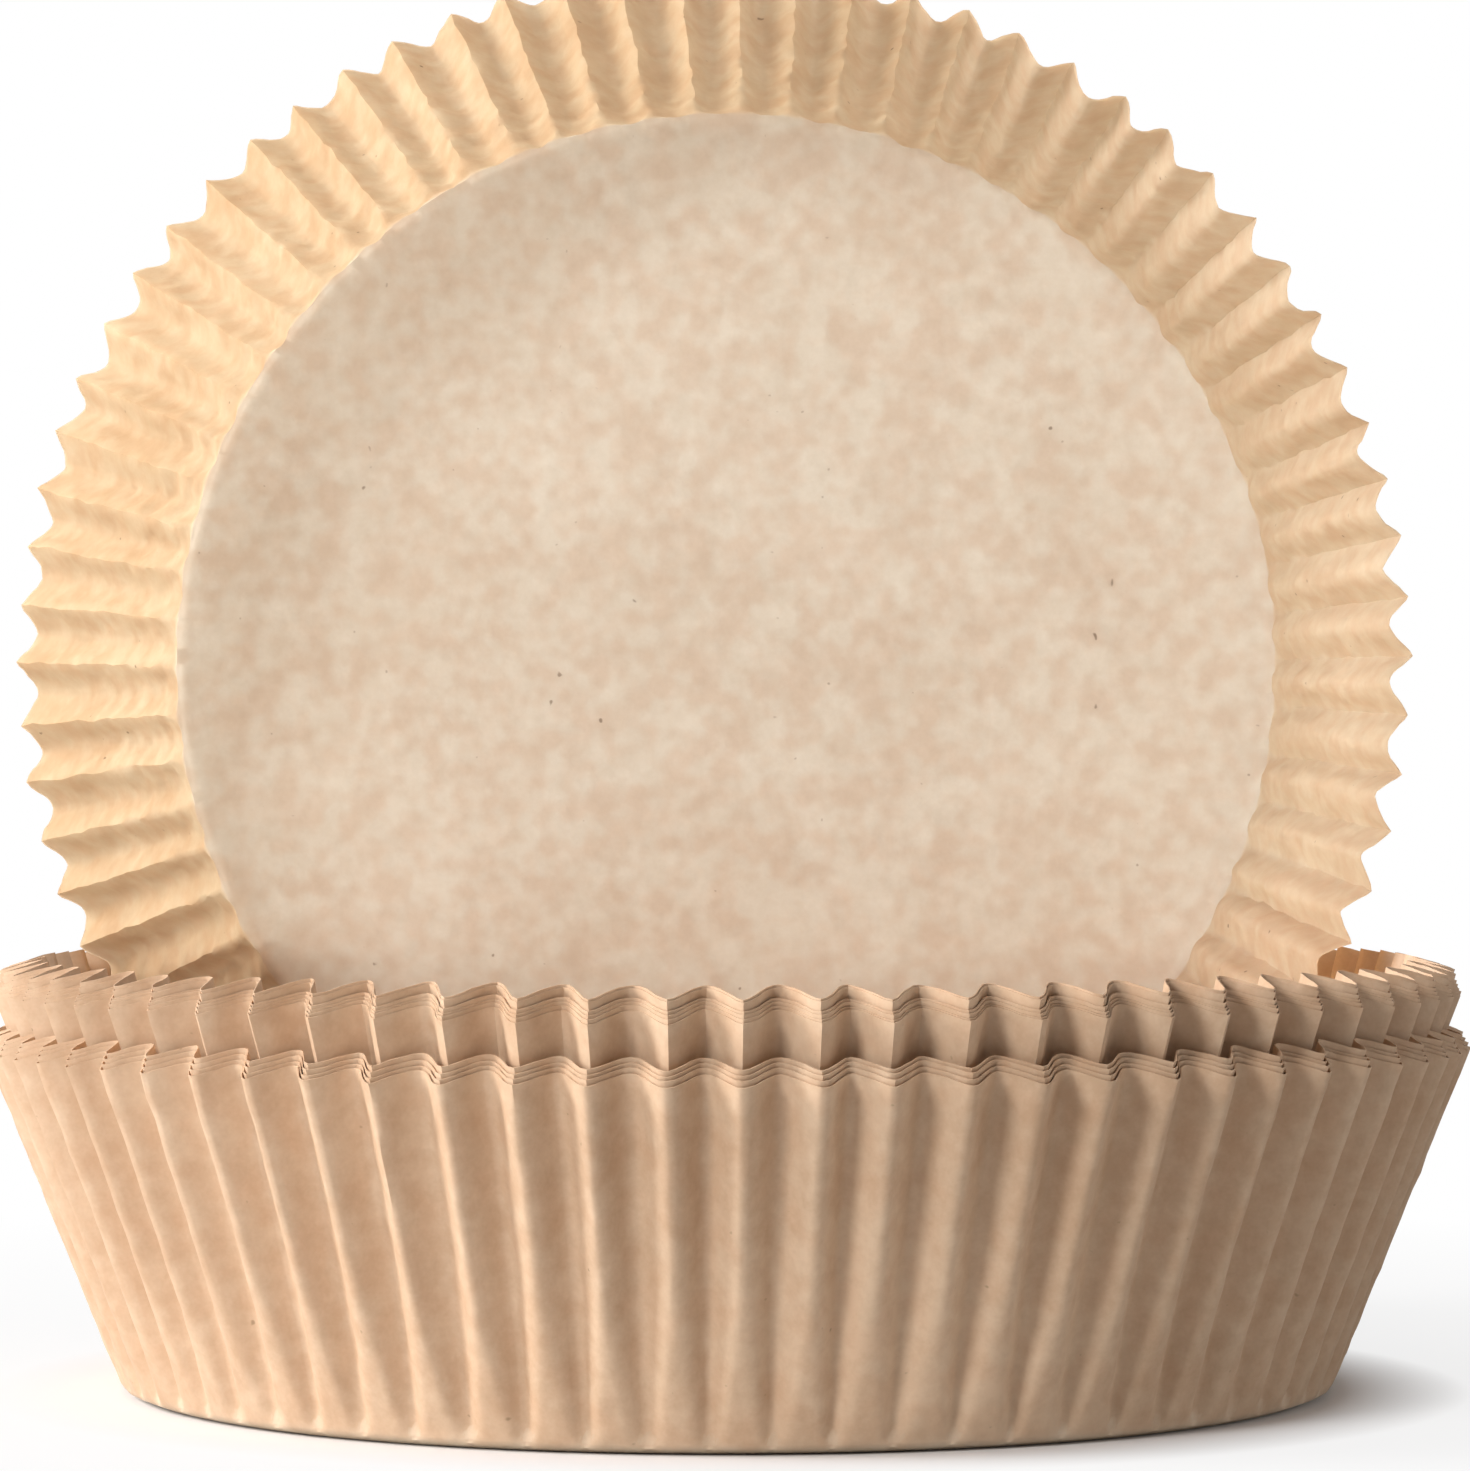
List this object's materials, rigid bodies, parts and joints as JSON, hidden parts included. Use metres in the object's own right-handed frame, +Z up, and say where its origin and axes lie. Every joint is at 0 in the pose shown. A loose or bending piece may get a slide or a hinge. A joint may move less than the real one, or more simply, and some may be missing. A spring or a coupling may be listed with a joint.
{
  "type": "stack of air fryer paper liners",
  "caption": "Nest of round pleated kraft paper liners for an air fryer basket, with one more liner standing upright inside it, open side to the front",
  "frame": {"origin": "centre of the nest's round base, on the surface that it stands on", "axes": "+Z up; the open side of the upright liner faces -Y, the front; +X is to the right seen from the front"},
  "size_m": [0.2, 0.2, 0.1931],
  "materials": {
    "kraft_paper": "unbleached greaseproof kraft paper, matt with a faint sheen, slightly translucent"
  },
  "bodies": {
    "root": {"stack_liner_01": "kraft_paper", "stack_liner_02": "kraft_paper", "stack_liner_03": "kraft_paper", "stack_liner_04": "kraft_paper", "stack_liner_05": "kraft_paper", "stack_liner_06": "kraft_paper", "stack_liner_07": "kraft_paper", "stack_liner_08": "kraft_paper", "stack_liner_09": "kraft_paper", "stack_liner_10": "kraft_paper", "upright_liner": "kraft_paper"}
  },
  "joints": []
}
